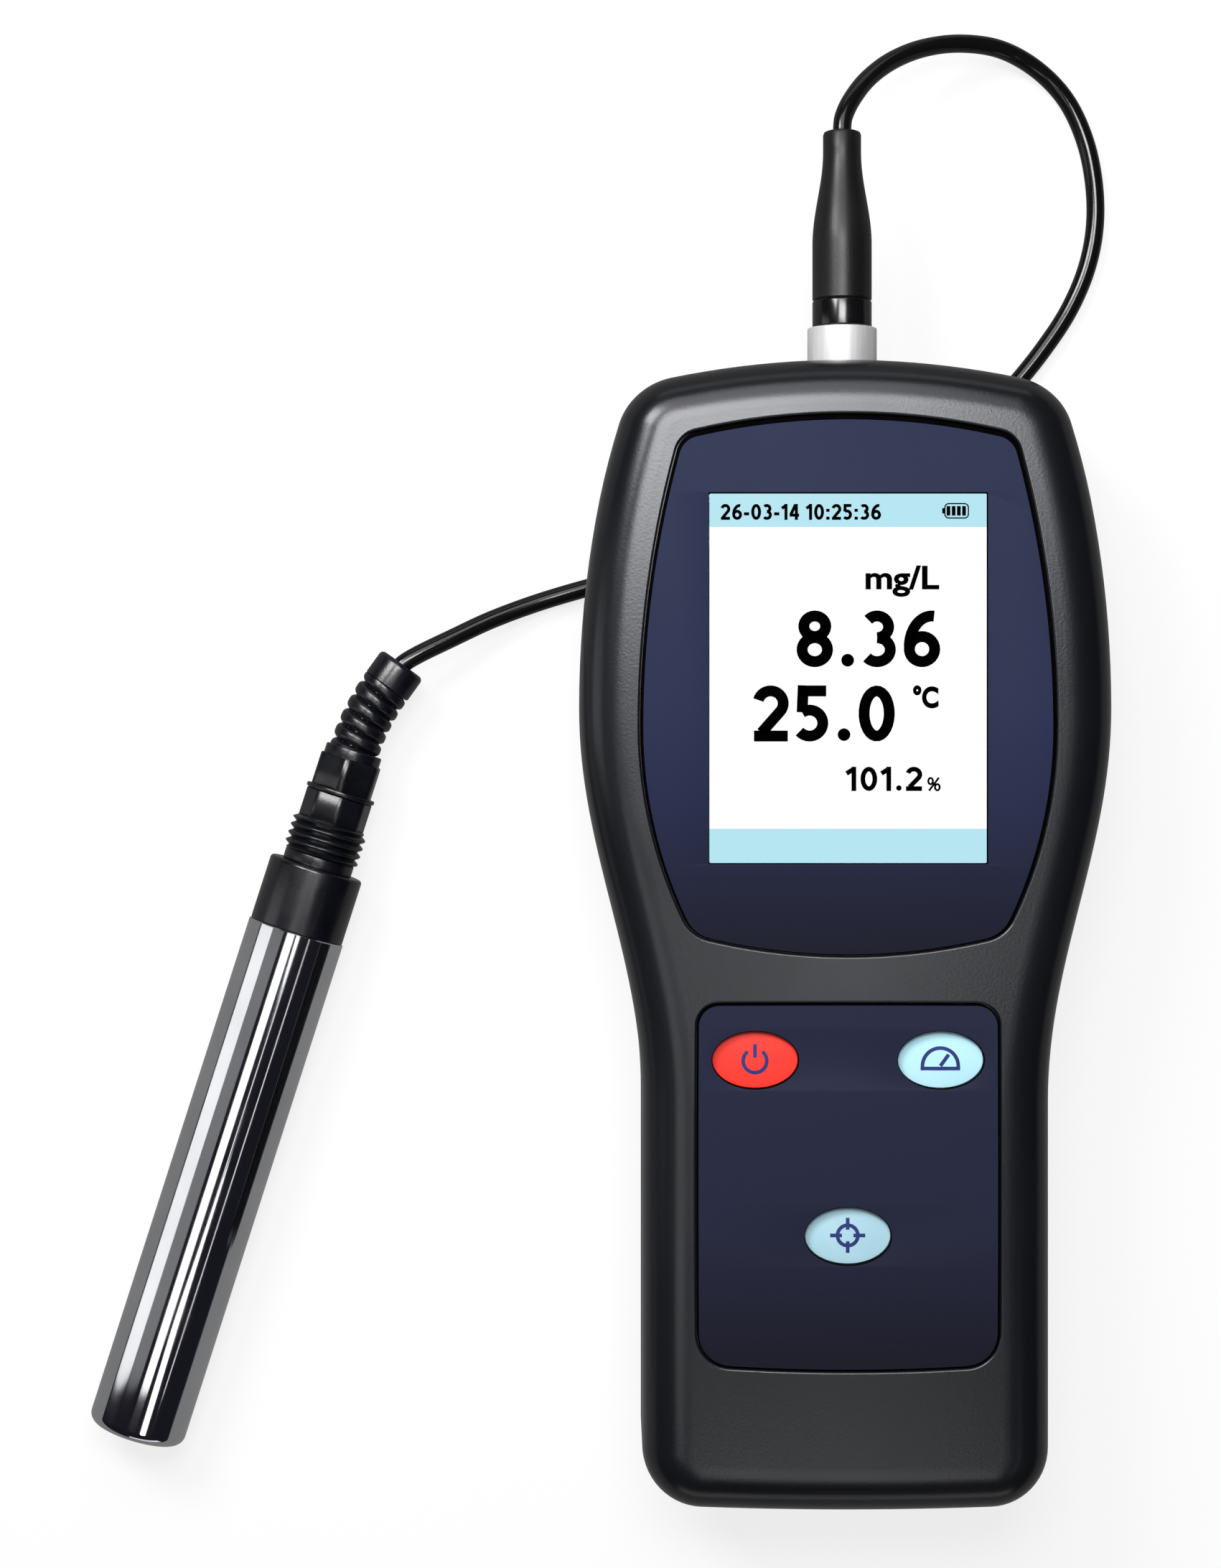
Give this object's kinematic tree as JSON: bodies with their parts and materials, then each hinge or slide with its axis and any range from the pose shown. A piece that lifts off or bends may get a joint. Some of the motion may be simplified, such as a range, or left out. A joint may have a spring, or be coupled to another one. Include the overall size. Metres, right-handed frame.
{
  "type": "dissolved oxygen meter",
  "caption": "Hand-held dissolved oxygen meter with waisted casing, colour display, oval keys, plug-in lead and steel probe.",
  "frame": {"origin": "plan centre of the meter's casing, on the rest face of its back", "axes": "+Z out of the display, +Y towards the connector end, +X to the right of someone reading the display"},
  "size_m": [0.1676, 0.238, 0.036],
  "materials": {
    "casing": "satin moulded ABS",
    "panel": "glossy navy overlay",
    "screen": "lit colour display behind a clear cover",
    "glass": "clear glass",
    "tin": "bright tinned steel",
    "diffuser": "white diffuser",
    "brass": "bright brass",
    "red_key": "satin red",
    "blue_key": "satin light blue",
    "silicone": "matt silicone rubber",
    "board": "green solder mask",
    "component": "black moulded component",
    "cell": "plain blue sleeve",
    "seal": "black rubber",
    "socket": "satin nickel plate",
    "plug": "glossy black",
    "boot": "satin black vinyl",
    "gland": "satin black nylon",
    "collar": "polished black acetal",
    "tube": "polished stainless steel",
    "sensor": "dark red sensing film"
  },
  "bodies": {
    "meter": {"front_shell": "casing", "back_shell": "casing", "seam_seal": "seal", "display_panel": "panel", "display_window": "screen", "display_glass": "glass", "display_frame": "tin", "backlight": "diffuser", "display_spacers": "brass", "keypad_panel": "panel", "key_mat": "silicone", "key_switches": "component", "main_board": "board", "main_chip": "component", "buzzer": "component", "clock_cell": "tin", "board_screws": "tin", "case_screws": "tin", "battery_tray": "component", "batteries": "cell", "battery_springs": "tin", "battery_contacts": "brass", "socket_shell": "socket", "socket_seal": "seal", "socket_nut": "tin", "socket_insulator": "component", "socket_pins": "brass"},
    "power_key": {"power_key": "red_key"},
    "measure_key": {"measure_key": "blue_key"},
    "calibrate_key": {"calibrate_key": "blue_key"},
    "battery_door": {"battery_door": "casing", "door_screw": "tin"},
    "lead": {"plug_shell": "plug", "plug_insulator": "component", "plug_contacts": "brass", "plug_boot": "boot", "cord": "boot", "relief_cap": "boot", "strain_relief": "boot", "gland_nut": "gland", "gland_body": "gland", "gland_seal": "seal", "probe_collar": "collar", "probe_tube": "tube", "sensor_holder": "component", "sensor_window": "sensor", "temperature_pin": "tube"}
  },
  "joints": [
    {"name": "power_key_press", "type": "slide", "parent": "meter", "child": "power_key", "axis": [0, 0, -1], "range_m": [0, 0.0007], "stiffness_N_per_m": 1500},
    {"name": "measure_key_press", "type": "slide", "parent": "meter", "child": "measure_key", "axis": [0, 0, -1], "range_m": [0, 0.0007], "stiffness_N_per_m": 1500},
    {"name": "calibrate_key_press", "type": "slide", "parent": "meter", "child": "calibrate_key", "axis": [0, 0, -1], "range_m": [0, 0.0007], "stiffness_N_per_m": 1500},
    {"name": "battery_door_open", "type": "hinge", "parent": "meter", "child": "battery_door", "pos_m": [0, -0.01783, 0.00143], "axis": [1, 0, 0], "range_deg": [0, 70]},
    {"name": "lead_unplug", "type": "slide", "parent": "meter", "child": "lead", "axis": [0, 1, 0], "range_m": [0, 0.012]}
  ]
}
